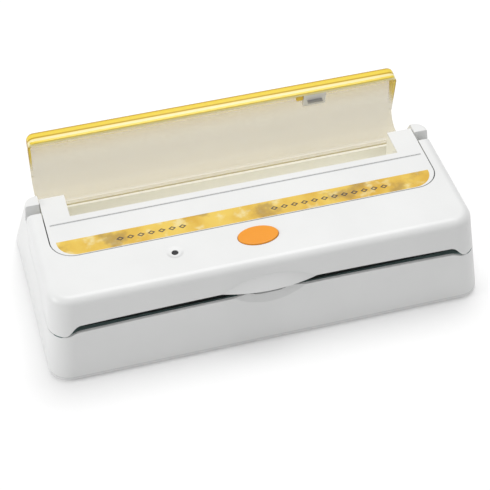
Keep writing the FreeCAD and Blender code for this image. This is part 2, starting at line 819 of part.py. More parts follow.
def make_lid_shell():
    """Moulded lid: drafted skirts, two arms round the housing, pull lip, button well and hinge bosses."""
    low_z = underside_z + corner_edge_height
    inside_z = top_z - lid_top
    outer = round_topped(body_block(low_z, top_z, 0), top_z, top_edge_radius)
    lean = math.degrees(math.atan(lip_reach / lip_rise + tangent(draft_angle)))
    radius = arc_radius(lip_half, lip_reach, lean)
    lip_front = front_y + draft_shift(lid_edge_z) - lip_reach
    lip = leaning_rod(radius, lip_front + radius / cosine(lean), lid_edge_z, lean)
    in_front = box(-lip_half, lip_half, front_y - lip_reach, front_y + draft_shift(top_z), low_z, top_z)
    outer = outer.fuse(lip.common(in_front).cut(outer)).removeSplitter()
    outer = outer.cut(bay(lid_gap, 0, far)).common(arm_limit(0))
    under_heel = box(-far, far, -far, far, -far, pivot_z - heel_opening)
    cavity = round_topped(body_block(low_z - wall, inside_z, lid_wall), inside_z, top_edge_radius - lid_wall)
    cavity = cavity.cut(bay(lid_gap + lid_wall, 0, far)).common(arm_limit(lid_wall).fuse(under_heel))
    inner_boss = rod_x(boss_radius, arm_inner, lug_x0 - side_play, pivot_y, pivot_z)
    outer_boss = rod_x(boss_radius, lug_x1 + side_play, far, pivot_y, pivot_z)
    cavity = cavity.cut(both_sides(inner_boss) + both_sides(outer_boss))
    skin = outer.cut(cavity).common(above_parting(seam_gap, lid_edge_z, ear_front_y))
    collar = ellipse_prism(button_half_length + button_flange + collar_wall + button_play,
                           button_half_depth + button_flange + collar_wall + button_play,
                           0, button_y, inside_z - collar_depth, inside_z)
    collar_hole = ellipse_prism(button_half_length + button_flange + button_play,
                                button_half_depth + button_flange + button_play,
                                0, button_y, inside_z - collar_depth - wall, inside_z)
    sleeve = rod_z(indicator_radius + indicator_flange + wall, indicator_place, button_y,
                   inside_z - 2 * wall, inside_z)
    pieces = [skin, collar.cut(collar_hole), sleeve]
    for x, y in lid_screws:
        pieces.append(rod_z(post_radius, x, y, liner_z + liner_thickness, inside_z))
    lid = fuse(pieces)
    holes = [ellipse_prism(button_half_length, button_half_depth, 0, button_y, inside_z - wall, far)]
    holes.append(rod_z(indicator_radius, indicator_place, button_y, 0, far))
    step = indicator_radius + indicator_flange
    holes.append(rod_z(step, indicator_place, button_y, 0, inside_z))
    holes.append(Part.makeCone(0, 2 * indicator_dish_radius, 2 * indicator_dish_depth,
                               Vector(indicator_place, button_y, top_z - indicator_dish_depth)))
    for x, y in lid_screws:
        holes.append(rod_z(screw_radius + screw_clearance, x, y, 0, liner_z + screw_length))
    pin_hole = pin_radius + pin_clearance
    holes += both_sides(rod_x(pin_hole, lid_pin_x0, lid_pin_x1, pivot_y, pivot_z))
    return lid.cut(holes)


def make_lid_liner():
    """Inner plate that closes the lid from below and carries the seals and the lid board."""
    inset = lid_wall + liner_gap
    plate = body_block(liner_z, liner_z + liner_thickness, inset)
    plate = plate.common(box(-far, far, -far, housing_front_y - lid_gap - inset, 0, far))
    pieces = [plate]
    for x, y in board_posts():
        pieces.append(rod_z(board_post_radius, x, y, liner_z + liner_thickness, board_z))
    peg_z = deck_z + plunger_rise + soft_gap
    pieces.append(rod_z(plunger_radius, lid_switch_place, plunger_y, peg_z, liner_z))
    liner = fuse(pieces)
    holes = [rod_z(screw_radius + screw_clearance, x, y, 0, far) for x, y in lid_screws]
    return liner.cut(holes)


def board_span():
    return indicator_place - board_margin, board_margin


def board_posts():
    x0, x1 = board_span()
    reach = board_depth / 2 - board_post_radius
    rows = (x0 + board_post_radius, x1 - board_post_radius)
    return [(x, button_y + sy * reach) for x in rows for sy in (-1, 1)]


def make_lid_board():
    """Small board with the button's switch and the indicator's lamp."""
    x0, x1 = board_span()
    board = box(x0, x1, button_y - board_depth / 2, button_y + board_depth / 2, board_z, board_top_z)
    half = switch_size / 2
    contact = box(-half, half, button_y - half, button_y + half, board_top_z, board_top_z + switch_height)
    lamp = rod_z(lamp_radius, indicator_place, button_y, board_top_z, board_top_z + switch_height)
    return fuse([board, contact, lamp])


def make_seal_button():
    """Oval push button: proud cap, retaining flange under the lid skin, hollow with a central stem."""
    a = button_half_length - button_play
    b = button_half_depth - button_play
    top = top_z + button_proud
    flange_top = top_z - lid_top - soft_gap
    low = flange_top - button_flange_thickness
    cap = ellipse_prism(a, b, 0, button_y, low, top)
    rim = [e for e in cap.Edges if min(v.Z for v in e.Vertexes) > top - near]
    cap = cap.makeFillet(button_edge_radius, rim)
    flange = ellipse_prism(button_half_length + button_flange, button_half_depth + button_flange,
                           0, button_y, low, flange_top)
    hollow = ellipse_prism(a - button_wall, b - button_wall, 0, button_y, low - wall, top - button_wall)
    stem_low = board_top_z + switch_height + button_travel + soft_gap
    stem = rod_z(button_stem_radius, 0, button_y, stem_low, top - button_wall)
    return fuse([cap.fuse(flange).cut(hollow), stem])


def make_button_spring():
    """Coil spring round the button's stem, from the lid board up to the cap."""
    low = board_top_z + spring_wire + soft_gap
    high = top_z + button_proud - button_wall - spring_wire - soft_gap
    pitch = (high - low) / spring_turns
    path = Part.makeHelix(pitch, high - low, spring_radius)
    ring = Part.Wire([Part.makeCircle(spring_wire, Vector(spring_radius, 0, 0), Y_AXIS)])
    coil = Part.Wire(path.Edges).makePipeShell([ring], True, True)
    coil.translate(Vector(0, button_y, low))
    return coil


def make_indicator_lens():
    """Light pipe with a flange under the lid skin."""
    inside_z = top_z - lid_top
    low = board_top_z + switch_height + soft_gap
    pipe = rod_z(indicator_radius - pin_clearance, indicator_place, button_y, low,
                 top_z - 2 * indicator_dish_depth)
    flange = rod_z(indicator_radius + indicator_flange - pin_clearance, indicator_place, button_y,
                   inside_z - indicator_flange, inside_z)
    return fuse([pipe, flange])


def gasket_ring(z0, z1):
    outer = rounded_slab(gasket_half, gasket_y, gasket_rear_y, gasket_radius, z0, z1)
    inner = rounded_slab(gasket_half - gasket_width, gasket_y + gasket_width, gasket_rear_y - gasket_width,
                         gasket_radius - gasket_width, z0, z1)
    return outer.cut(inner)


def make_heater():
    """Heating bar on the deck with a ribbon element let into it and tape over both."""
    y0 = heater_y
    y1 = heater_y + heater_width
    middle = (y0 + y1) / 2
    ribbon = box(-heater_half, heater_half, middle - element_width / 2, middle + element_width / 2,
                 heater_top_z - element_thickness, heater_top_z)
    bar = box(-heater_half, heater_half, y0, y1, deck_z, heater_top_z).cut(ribbon)
    tape = box(-heater_half, heater_half, y0 - tape_thickness, y1 + tape_thickness, deck_z,
               heater_top_z + tape_thickness)
    core = box(-far, far, y0, y1, 0, heater_top_z)
    return bar, ribbon, tape.cut(core)


def make_pressure_bar():
    """Soft bar under the lid, rounded where it presses on the heater."""
    low = heater_top_z + tape_thickness + soft_gap
    bar = box(-heater_half, heater_half, heater_y, heater_y + heater_width, low, liner_z)
    edges = [e for e in bar.Edges if max(v.Z for v in e.Vertexes) < low + near and e.Length > heater_half]
    return bar.makeFillet(pressure_edge_radius, edges)


def make_nozzle_and_hose():
    """Suction nozzle through the deck, and the hose from it to the pump's port."""
    top = deck_z + nozzle_flange_thickness
    low = deck_z - nozzle_length
    nozzle = rod_z(nozzle_radius, nozzle_place, nozzle_y, low, top)
    nozzle = nozzle.fuse(rod_z(nozzle_flange_radius, nozzle_place, nozzle_y, deck_z, top)).removeSplitter()
    nozzle = nozzle.cut(rod_z(nozzle_bore, nozzle_place, nozzle_y, low - wall, top + wall))
    port_z = floor_z + port_height
    port_end = bay_y - pump_depth / 2 - soft_gap
    start = Vector(nozzle_place, nozzle_y, low + hose_grip)
    bend = Vector(nozzle_place, nozzle_y, port_z + hose_bend_radius)
    bend_end = Vector(nozzle_place, nozzle_y + hose_bend_radius, port_z)
    cut_off = hose_bend_radius * (1 - cosine(45))
    middle = Vector(nozzle_place, nozzle_y + cut_off, port_z + cut_off)
    end = Vector(nozzle_place, port_end, port_z)
    path = Part.Wire([line(start, bend), arc(bend, middle, bend_end), line(bend_end, end)])
    tubes = []
    for radius in (hose_outer, nozzle_radius + hose_clearance):
        ring = Part.Wire([Part.makeCircle(radius, start, Z_AXIS)])
        tubes.append(path.makePipeShell([ring], True, True))
    return nozzle, tubes[0].cut(tubes[1])


def make_pump():
    """Motor, pump head and the bracket between them, in line along the bay under the housing."""
    plate_x = nozzle_place - pump_length / 2 - bracket_thickness
    axis_z = floor_z + bracket_thickness + pump_height / 2
    motor = rod_x(motor_radius, plate_x - motor_length, plate_x, bay_y, axis_z)
    nose = rod_x(motor_nose_radius, plate_x, plate_x + bracket_thickness, bay_y, axis_z)
    shaft = rod_x(pin_radius, plate_x, plate_x + bracket_thickness + motor_nose_length, bay_y, axis_z)
    motor_x = plate_x - motor_length
    tail = rod_x(motor_nose_radius, motor_x - motor_nose_length, motor_x, bay_y, axis_z)
    motor = fuse([motor, nose, shaft, tail])
    y0 = bay_y - pump_depth / 2
    y1 = bay_y + pump_depth / 2
    head_x = plate_x + bracket_thickness
    head_low = floor_z + bracket_thickness
    body = box(head_x, head_x + pump_length, y0, y1, head_low, head_low + pump_height)
    upright = [e for e in body.Edges if abs(e.tangentAt(e.FirstParameter).x) > 0.5]
    body = body.makeFillet(pump_edge_radius, upright)
    port_z = floor_z + port_height
    port = Part.makeCylinder(nozzle_radius, port_length + pump_depth / 2, Vector(nozzle_place, bay_y, port_z),
                             Y_AXIS * -1)
    head = body.fuse(port).removeSplitter()
    bore_length = motor_nose_length + soft_gap
    head = head.cut(rod_x(pin_radius + pin_clearance, head_x, head_x + bore_length, bay_y, axis_z))
    port_mouth = Vector(nozzle_place, y0 - port_length, port_z)
    bore = Part.makeCylinder(nozzle_bore, port_length + pump_depth / 4, port_mouth, Y_AXIS)
    head = head.cut(bore)
    foot = box(plate_x - bracket_tail, head_x + pump_length, y0, y1, floor_z, head_low)
    stand = box(plate_x, head_x, y0, y1, floor_z, head_low + pump_height)
    bracket = fuse([foot, stand])
    cradle_low = axis_z - motor_radius
    cradle = box(plate_x - bracket_tail, plate_x - bracket_tail + bracket_thickness, y0, y1, floor_z,
                 cradle_low + motor_radius / 2)
    cradle = cradle.cut(rod_x(motor_radius, plate_x - motor_length, plate_x, bay_y, axis_z))
    bracket = fuse([bracket, cradle])
    return motor, head, bracket.cut(rod_x(motor_nose_radius + pin_clearance, plate_x, head_x, bay_y, axis_z))


def make_transformer():
    """Laminated core with two windows, and the coil wound round its middle leg."""
    x0 = core_place - core_length / 2
    x1 = core_place + core_length / 2
    y0 = bay_y - core_stack / 2
    y1 = bay_y + core_stack / 2
    core_top = floor_z + core_height
    core = box(x0, x1, y0, y1, floor_z, core_top)
    window_inner = core_leg
    window_outer = core_length / 2 - core_leg
    window = box(core_place + window_inner, core_place + window_outer, y0, y1,
                 floor_z + core_leg, core_top - core_leg)
    other = box(core_place - window_outer, core_place - window_inner, y0, y1,
                floor_z + core_leg, core_top - core_leg)
    core = core.cut([window, other])
    coil_half = window_outer - coil_gap
    coil = box(core_place - coil_half, core_place + coil_half, y0 - coil_overhang, y1 + coil_overhang,
               floor_z + core_leg + coil_gap, core_top - core_leg - coil_gap)
    upright = [e for e in coil.Edges if abs(e.tangentAt(e.FirstParameter).z) > 0.5]
    coil = coil.makeFillet(coil_edge_radius, upright)
    leg = box(core_place - window_inner, core_place + window_inner, y0, y1, 0, far)
    return core, coil.cut(leg)


def make_control_board():
    """Board on four standoffs with a relay, a heat sink and two capacitors."""
    y = front_y + control_distance
    z = floor_z + control_rise
    top = z + board_thickness
    x0 = control_place - control_length / 2
    board = box(x0, x0 + control_length, y - control_depth / 2, y + control_depth / 2, z, top)
    relay_x = x0 + relay_offset
    relay = box(relay_x - relay_length / 2, relay_x + relay_length / 2, y - relay_depth / 2,
                y + relay_depth / 2, top, top + relay_height)
    sink_x = x0 + sink_offset
    sink_y = y + sink_setback
    sink = box(sink_x - sink_length / 2, sink_x + sink_length / 2, sink_y - sink_thickness / 2,
               sink_y + sink_thickness / 2, top, top + sink_height)
    pieces = [board, relay, sink]
    for x in (x0 + capacitor_offset, x0 + capacitor_offset + capacitor_pitch):
        pieces.append(rod_z(capacitor_radius, x, y, top, top + capacitor_height))
    return fuse(pieces)


def make_lid_switch():
    """Micro switch under the deck, with a plunger that the lid presses."""
    top = deck_z - deck_thickness
    x0 = lid_switch_place - lid_switch_length / 2
    body = box(x0, x0 + lid_switch_length, plunger_y - lid_switch_depth / 2, plunger_y + lid_switch_depth / 2,
               top - lid_switch_height, top)
    return fuse([body, rod_z(plunger_radius, lid_switch_place, plunger_y, top, deck_z + plunger_rise)])


def swing_open(shape):
    shape.rotate(Vector(0, cover_pivot_y, cover_pivot_z), X_AXIS, -cover_swing)
    return shape


def cover_point(reach, rise, x):
    """A point of the closed cover: reach forward of its pivot, rise above it."""
    return Vector(x, cover_pivot_y - reach, cover_pivot_z + rise)


def cover_top(reach):
    """Height of the closed cover's sloping top above its pivot."""
    high = cover_floor + cover_rim_height + cover_shoulder
    low = cover_floor + cover_back_height
    span = cover_reach - cover_shoulder - cover_back_reach
    return low + (high - low) * (reach - cover_back_reach) / span


def cover_profile(x):
    """Outer side of the closed cover from its rim back to its pivot, as edges."""
    rim_low = cover_point(cover_reach, cover_floor, x)
    rim_high = cover_point(cover_reach, cover_floor + cover_rim_height, x)
    shoulder_reach = cover_reach - cover_shoulder
    shoulder = cover_point(shoulder_reach, cover_top(shoulder_reach), x)
    round_off = cover_shoulder * (1 - cosine(45))
    middle = cover_point(cover_reach - round_off, cover_top(shoulder_reach) - round_off, x)
    back = cover_point(cover_back_reach, cover_top(cover_back_reach), x)
    bend = cover_point(-cover_bend_reach, cover_floor - cover_bend_drop, x)
    skirt = cover_point(-cover_skirt_reach, cover_skirt_height, x)
    barrel = cover_point(-barrel_radius, 0, x)
    return [
        line(rim_low, rim_high),
        arc(rim_high, middle, shoulder),
        line(shoulder, back),
        arc(back, bend, skirt),
        line(skirt, barrel),
    ]


def make_roll_cover():
    """Clear cover: sloping top, deep rim, end walls that taper to the pivot, and a hinge barrel."""
    profile = Part.Wire(cover_profile(-cover_half))
    sheet = profile.makeOffset2D(cover_wall, 2, True, True)
    shell = sheet.extrude(X_AXIS * (2 * cover_half))
    rim_low = cover_point(cover_reach, cover_floor, -cover_half)
    barrel = cover_point(-barrel_radius, 0, -cover_half)
    pivot = cover_point(0, 0, -cover_half)
    seat = cover_point(cover_back_reach / 2, cover_floor, -cover_half)
    closing = [line(barrel, pivot), line(pivot, seat), line(seat, rim_low)]
    end_wall = prism(cover_profile(-cover_half) + closing, X_AXIS * cover_end_wall)
    above_floor = box(-far, far, -far, far, cover_pivot_z + cover_floor, far)
    end_wall = end_wall.common(above_floor)
    rim_front = cover_pivot_y - cover_reach
    bar = box(-cover_half, cover_half, rim_front, rim_front + rim_bar_depth,
              cover_pivot_z + cover_floor, cover_pivot_z + cover_floor + rim_bar_height)
    hinge = rod_x(barrel_radius, -cover_half, cover_half, cover_pivot_y, cover_pivot_z)
    cover = fuse([shell, bar, hinge] + both_sides(end_wall))
    slot_y = cover_pivot_y - cutter_slot_front
    slot = box(-cutter_slot_half, cutter_slot_half, slot_y, slot_y + cutter_slot_width,
               cover_pivot_z + cover_floor + cutter_floor_gap, far)
    bore_end = cover_half - cover_pin_depth - cover_end_wall
    bores = both_sides(rod_x(cover_pin_radius + pin_clearance, bore_end, far, cover_pivot_y, cover_pivot_z))
    return swing_open(cover.cut([slot] + bores))


def make_cutter():
    """Slider inside the cover, thumb knob outside it, and the blade that reaches behind the lip."""
    x0 = cutter_place - cutter_length / 2
    x1 = cutter_place + cutter_length / 2
    y0 = cover_pivot_y - cutter_front
    low = cover_pivot_z + cover_floor + cutter_floor_gap
    body = box(x0, x1, y0, y0 + cutter_depth, low, low + cutter_thickness)
    edges = [e for e in body.Edges if abs(e.tangentAt(e.FirstParameter).z) > 0.5]
    body = body.makeFillet(cutter_edge_radius, edges)
    slot_y = cover_pivot_y - cutter_slot_front
    neck_front = slot_y + cutter_play
    neck_rear = slot_y + cutter_slot_width - cutter_play
    knob_low = cover_pivot_z + cover_top(cutter_slot_front + knob_depth / 2) + cutter_play
    neck_x = knob_length / 2
    neck = box(cutter_place - neck_x, cutter_place + neck_x, neck_front, neck_rear, low, knob_low)
    knob_y = (neck_front + neck_rear) / 2
    knob = box(cutter_place - neck_x, cutter_place + neck_x, knob_y - knob_depth / 2, knob_y + knob_depth / 2,
               knob_low, knob_low + knob_height)
    tops = [e for e in knob.Edges if min(v.Z for v in e.Vertexes) > knob_low + knob_height - near]
    knob = knob.makeFillet(knob_edge_radius, tops)
    blade_y = y0 + blade_inset
    blade_half = blade_length / 2
    blade = box(cutter_place - blade_half, cutter_place + blade_half, blade_y, blade_y + blade_thickness,
                low - blade_drop, low + cutter_thickness / 2)
    slider = fuse([body, neck]).cut(blade)
    return swing_open(slider), swing_open(knob), swing_open(blade)


def make_gland():
    """Bush in the rear wall for the mains cord."""
    place = Vector(gland_place, gland_y, gland_z)
    bush = Part.makeCylinder(gland_radius, gland_inside, place, rear_normal * -1)
    flange = Part.makeCylinder(gland_radius + gland_flange, gland_flange_thickness, place, rear_normal)
    bore = Part.makeCylinder(gland_bore, 2 * (gland_inside + gland_flange_thickness),
                             place - rear_normal * (2 * gland_inside), rear_normal)
    return bush.fuse(flange).removeSplitter().cut(bore)


save("base_shell", make_base_shell())
save("bottom_plate", make_bottom_plate())
save("rubber_feet", make_feet())
save("plate_screws", [screw(x, y, underside_z + screw_head_height, 1) for x, y in plate_screws])
save("cord_gland", make_gland())
save("roll_housing", make_roll_housing())
save("trim_strip", trim_shape(trim_thickness))
save("housing_screws", [screw(x, y, deck_z - deck_thickness, 1) for x, y in housing_screws])
heater_bar, heater_element, heater_tape = make_heater()
save("heater_bar", heater_bar)
save("heater_element", heater_element)
save("heater_tape", heater_tape)
save("lower_gasket", gasket_ring(deck_z, gasket_top_z))
vacuum_nozzle, vacuum_hose = make_nozzle_and_hose()
save("vacuum_nozzle", vacuum_nozzle)
save("vacuum_hose", vacuum_hose)
pump_motor, pump_head, pump_bracket = make_pump()
save("pump_motor", pump_motor)
save("pump_head", pump_head)
save("pump_bracket", pump_bracket)
transformer_core, transformer_coil = make_transformer()
save("transformer_core", transformer_core)
save("transformer_coil", transformer_coil)
save("control_board", make_control_board())
save("lid_switch", make_lid_switch())
save("lid_pins", both_sides(rod_x(pin_radius, lid_pin_x0, lid_pin_x1, pivot_y, pivot_z)))
cover_pin_start = cover_half - cover_pin_depth
cover_pin = rod_x(cover_pin_radius, cover_pin_start, cheek_outer, cover_pivot_y, cover_pivot_z)
save("cover_pins", both_sides(cover_pin))
save("lid_shell", make_lid_shell())
save("lid_liner", make_lid_liner())
save("upper_gasket", gasket_ring(gasket_top_z + soft_gap, liner_z))
save("pressure_bar", make_pressure_bar())
save("indicator_lens", make_indicator_lens())
save("lid_board", make_lid_board())
save("lid_screws", [screw(x, y, liner_z, 1) for x, y in lid_screws])
save("seal_button", make_seal_button())
save("button_spring", make_button_spring())
save("roll_cover", make_roll_cover())
cutter_slider, cutter_knob, cutter_blade = make_cutter()
save("cutter_slider", cutter_slider)
save("cutter_knob", cutter_knob)
save("cutter_blade", cutter_blade)
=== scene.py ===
import bmesh
import bpy
import math
from mathutils import Matrix, Vector


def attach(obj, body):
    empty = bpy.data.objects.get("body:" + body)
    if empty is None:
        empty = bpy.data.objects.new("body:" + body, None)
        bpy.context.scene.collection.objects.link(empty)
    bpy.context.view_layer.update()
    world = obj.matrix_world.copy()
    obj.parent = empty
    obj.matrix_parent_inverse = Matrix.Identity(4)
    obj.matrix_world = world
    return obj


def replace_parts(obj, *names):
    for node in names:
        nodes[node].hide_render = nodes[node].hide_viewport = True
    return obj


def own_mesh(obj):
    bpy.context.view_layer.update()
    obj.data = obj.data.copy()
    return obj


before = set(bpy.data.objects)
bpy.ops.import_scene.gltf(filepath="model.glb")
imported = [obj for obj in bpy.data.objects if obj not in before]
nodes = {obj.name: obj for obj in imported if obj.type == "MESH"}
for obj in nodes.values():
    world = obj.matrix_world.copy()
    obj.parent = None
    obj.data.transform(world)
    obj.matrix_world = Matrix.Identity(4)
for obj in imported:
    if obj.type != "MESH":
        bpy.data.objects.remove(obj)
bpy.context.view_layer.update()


# Base shell
# The lower housing: one white moulding in tough styrene with drafted walls, the sealing deck, two closed
# ears behind the lid's arms and the lugs that carry the lid's pins. It comes from a polished tool, so its
# skin is smooth with only a faint waviness.
MM = 0.001


class Value:
    """A socket in a material. Arithmetic on it adds Math nodes."""

    def __init__(self, paint, socket):
        self.paint = paint
        self.socket = socket

    def math(self, operation, first, second):
        return self.paint.node("ShaderNodeMath", {"operation": operation}, {0: first, 1: second})

    def __add__(self, other):
        return self.math("ADD", self, other)

    def __radd__(self, other):
        return self.math("ADD", other, self)

    def __sub__(self, other):
        return self.math("SUBTRACT", self, other)

    def __rsub__(self, other):
        return self.math("SUBTRACT", other, self)

    def __mul__(self, other):
        return self.math("MULTIPLY", self, other)

    def __rmul__(self, other):
        return self.math("MULTIPLY", other, self)

    def size(self):
        return self.math("ABSOLUTE", self, 0.0)

    def repeat(self, length):
        """Distance from the middle of the nearest of many equal lengths."""
        return (self.math("FLOORED_MODULO", self, length) - length / 2).size()

    def step(self, low, high):
        """0 below low, 1 above high, smooth between them."""
        settings = {"interpolation_type": "SMOOTHSTEP"}
        return self.paint.node("ShaderNodeMapRange", settings, {"Value": self, 1: low, 2: high})

    def past(self, limit, soft):
        """0 up to a limit, 1 past it."""
        return self.step(limit, limit + soft)

    def within(self, limit, soft):
        """1 up to a limit, 0 past it."""
        return 1 - self.past(limit, soft)

    def between(self, low, high, soft=0.2 * MM):
        """1 between two values, 0 outside them."""
        return self.step(low - soft, low) * self.within(high, soft)


class Paint:
    """A procedural material, built up node by node from Object coordinates."""

    def __init__(self, name):
        self.material = bpy.data.materials.new(name)
        self.material.use_nodes = True
        self.tree = self.material.node_tree
        self.surface = self.tree.nodes["Principled BSDF"]
        self.place = self.node("ShaderNodeTexCoord", output="Object")

    def set(self, socket, value):
        if isinstance(value, Value):
            self.tree.links.new(value.socket, socket)
        else:
            socket.default_value = value

    def node(self, kind, settings=None, inputs=None, output=0):
        made = self.tree.nodes.new(kind)
        for name, value in (settings or {}).items():
            setattr(made, name, value)
        for name, value in (inputs or {}).items():
            self.set(made.inputs[name], value)
        return Value(self, made.outputs[output])

    def noise(self, scale, detail=2.0, stretch=(1, 1, 1)):
        """Noise of about scale lumps per metre, drawn out along an axis where stretch is small."""
        at = self.node("ShaderNodeMapping", None, {"Vector": self.place, "Scale": stretch})
        return self.node("ShaderNodeTexNoise", None, {"Vector": at, "Scale": scale, "Detail": detail})

    def mix(self, share, first, second):
        settings = {"data_type": "RGBA"}
        return self.node("ShaderNodeMix", settings, {0: share, 6: first, 7: second}, output=2)

    def tint(self, color, tone, mask, strength=1.0):
        """Lay a tone over a colour where the mask is 1."""
        return self.mix(mask * strength, color, tone)

    def axis(self, index, place=None):
        return self.node("ShaderNodeSeparateXYZ", None, {0: place or self.place}, output=index)

    def distance(self, point):
        """Distance from a point of the object."""
        settings = {"operation": "DISTANCE"}
        return self.node("ShaderNodeVectorMath", settings, {0: self.place, 1: point}, output="Value")

    def bump(self, height, depth):
        inputs = {"Height": height, "Strength": 1.0, "Distance": depth}
        return self.node("ShaderNodeBump", None, inputs, output="Normal")

    def finish(self, color, roughness, normal=None, **constants):
        self.set(self.surface.inputs["Base Color"], color)
        self.set(self.surface.inputs["Roughness"], roughness)
        if normal is not None:
            self.set(self.surface.inputs["Normal"], normal)
        for name, value in constants.items():
            self.surface.inputs[name].default_value = value
        return self.material


def moulded_plastic(name, light, dark, roughness, grain=1500, shade=None):
    """Moulded plastic: faint cloudy tone, slightly uneven gloss and a fine skin."""
    paint = Paint(name)
    cloud = paint.noise(scale=14, detail=3)
    color = paint.mix(cloud.step(0.3, 0.7), dark, light)
    if shade:
        color = shade(paint, color)
    uneven = 0.08 * paint.noise(scale=55)
    skin = paint.bump(paint.noise(scale=grain), depth=0.02 * MM)
    return paint.finish(color, roughness + uneven, skin, IOR=1.5)


def dress(node, material):
    """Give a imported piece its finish."""
    slots = nodes[node].data.materials
    slots.clear()
    slots.append(material)


white = (0.86, 0.865, 0.86, 1)
shaded_white = (0.83, 0.835, 0.83, 1)
polished = 0.3
# The deck's dark teal grey is painted shade, standing for the deep shade inside the front slot.
slot_shade_teal = (0.18, 0.26, 0.255, 1)
deck_low = 48 * MM
deck_high = 51.2 * MM
deck_front = -90.6 * MM
deck_rear = -36 * MM
deck_half = 183 * MM
scoop_half = 26 * MM
scoop_rear = -80 * MM


def painted_deck_shade(paint, color):
    """Painted shade: the deck behind the front slot is dark teal grey; the scoop under the lip stays white.
    """
    side = paint.axis(0).size()
    depth = paint.axis(1)
    deck = paint.axis(2).between(deck_low, deck_high) * depth.between(deck_front, deck_rear)
    deck = deck * side.within(deck_half, soft=1 * MM)
    scoop = side.within(scoop_half, soft=2 * MM) * depth.within(scoop_rear, soft=2 * MM)
    return paint.tint(color, slot_shade_teal, deck * (1 - scoop))


dress("base_shell", moulded_plastic("white_base", white, shaded_white, polished, shade=painted_deck_shade))


# Bottom plate
# The shallow white tray that closes the base from below, moulded in the same styrene and held by six
# screws. A fine painted shadow line marks where its edge meets the base.
plate_joint = 4.4 * MM
joint_shadow_grey = (0.4, 0.41, 0.41, 1)


def painted_shadow_line(paint, color):
    """Painted shadow: the top of the plate's edge is darker, as in the shadow of the joint."""
    joint = paint.axis(2).past(plate_joint, soft=0.5 * MM)
    return paint.tint(color, joint_shadow_grey, joint, strength=0.35)


dress("bottom_plate", moulded_plastic("white_plate", white, shaded_white, polished, shade=painted_shadow_line))


# Roll housing
# The fixed top panel with the half-round roll trough, its end blocks and a long shallow groove in front of
# it. It is one white moulding, held by two screws.
trough_front = 5 * MM
trough_rim = 84 * MM
trough_amber_light = (0.94, 0.925, 0.84, 1)
groove_front = 3.2 * MM
groove_rear = 5.7 * MM
groove_floor = 84 * MM
groove_half = 166.5 * MM
groove_shade_grey = (0.6, 0.61, 0.62, 1)


def trough_light_and_groove_shade(paint, color):
    """Painted light: a warm tone in the trough, lit through the amber cover; painted shade: grey in the
    groove.
    """
    depth = paint.axis(1)
    rise = paint.axis(2)
    # Painted light: the trough's cream tone stands for amber light falling through the cover.
    trough = rise.within(trough_rim, soft=1.8 * MM) * depth.past(trough_front, soft=1 * MM)
    color = paint.tint(color, trough_amber_light, trough)
    # Painted shade: the groove before the trough is greyed, as for the shade inside it.
    groove = depth.between(groove_front, groove_rear, soft=0.5 * MM)
    groove = groove * rise.past(groove_floor, soft=0.5 * MM)
    groove = groove * paint.axis(0).size().within(groove_half, soft=1 * MM)
    return paint.tint(color, groove_shade_grey, groove, strength=0.3)


dress("roll_housing", moulded_plastic("white_housing", white, shaded_white, polished, shade=trough_light_and_groove_shade))


# Lid
# The white moulded lid with its hinge arms, pull lip and button well, and the inner plate that closes it
# from below. Four screws hold the two together.
lamp_place = Vector((-72, -56.65, 86)) * MM
dish_inner = 5.6 * MM
dish_outer = 6.8 * MM
dish_front = -60 * MM
dish_shade_grey = (0.6, 0.61, 0.61, 1)
liner_roughness = 0.35


def painted_dish_shade(paint, color):
    """Painted shade: the shallow dish round the indicator has a soft grey front edge."""
    ring = paint.distance(lamp_place).between(dish_inner, dish_outer, soft=1 * MM)
    front = paint.axis(1).within(dish_front, soft=5 * MM)
    return paint.tint(color, dish_shade_grey, ring * front, strength=0.5)


dress("lid_shell", moulded_plastic("white_lid", white, shaded_white, polished, shade=painted_dish_shade))
dress("lid_liner", moulded_plastic("white_liner", white, shaded_white, liner_roughness))


# Rubber pieces
# Four feet under the plate, the two gaskets that close the vacuum channel, and the soft bar in the lid that
# presses on the heater: moulded black rubber with a dull, slightly dusty skin.
clean_rubber = (0.03, 0.039, 0.039, 1)
dusty_rubber = (0.06, 0.072, 0.072, 1)


def black_rubber():
    paint = Paint("black_rubber")
    dust = paint.noise(scale=90, detail=4)
    color = paint.mix(dust.step(0.35, 0.8), clean_rubber, dusty_rubber)
    skin = paint.bump(paint.noise(scale=900, detail=3), depth=0.04 * MM)
    return paint.finish(color, roughness=0.62 + 0.2 * dust, normal=skin)


rubber = black_rubber()
for node in ("rubber_feet", "lower_gasket", "upper_gasket", "pressure_bar"):
    dress(node, rubber)


# Steel pieces
# Screws, hinge pins, the cutter's blade, the motor's can with its bracket and the heating ribbon: drawn or
# pressed steel, bright and finely streaked.
bright_steel = (0.62, 0.62, 0.63, 1)
grey_steel = (0.45, 0.45, 0.47, 1)


def metal(name, light, dark, roughness):
    """Metal with fine streaks along the length of the machine."""
    paint = Paint(name)
    streak = paint.noise(scale=420, detail=3, stretch=(0.06, 1, 1))
    color = paint.mix(streak, dark, light)
    return paint.finish(color, roughness + 0.2 * streak, paint.bump(streak, depth=0.01 * MM), Metallic=1.0)


steel = metal("bright_steel", bright_steel, grey_steel, roughness=0.22)
for node in ("plate_screws", "housing_screws", "lid_screws", "lid_pins", "cover_pins", "cutter_blade",
             "pump_motor", "pump_bracket", "heater_element"):
    dress(node, steel)


# Dark plastic pieces
# The cord gland in the rear wall, the heating bar on the deck, the lid switch under it and the indicator's
# light pipe in the lid: small black mouldings.
soft_black = (0.025, 0.025, 0.028, 1)
deep_black = (0.015, 0.015, 0.018, 1)
black_plastic = moulded_plastic("black_plastic", soft_black, deep_black, polished)
for node in ("cord_gland", "heater_bar", "lid_switch", "indicator_lens"):
    dress(node, black_plastic)


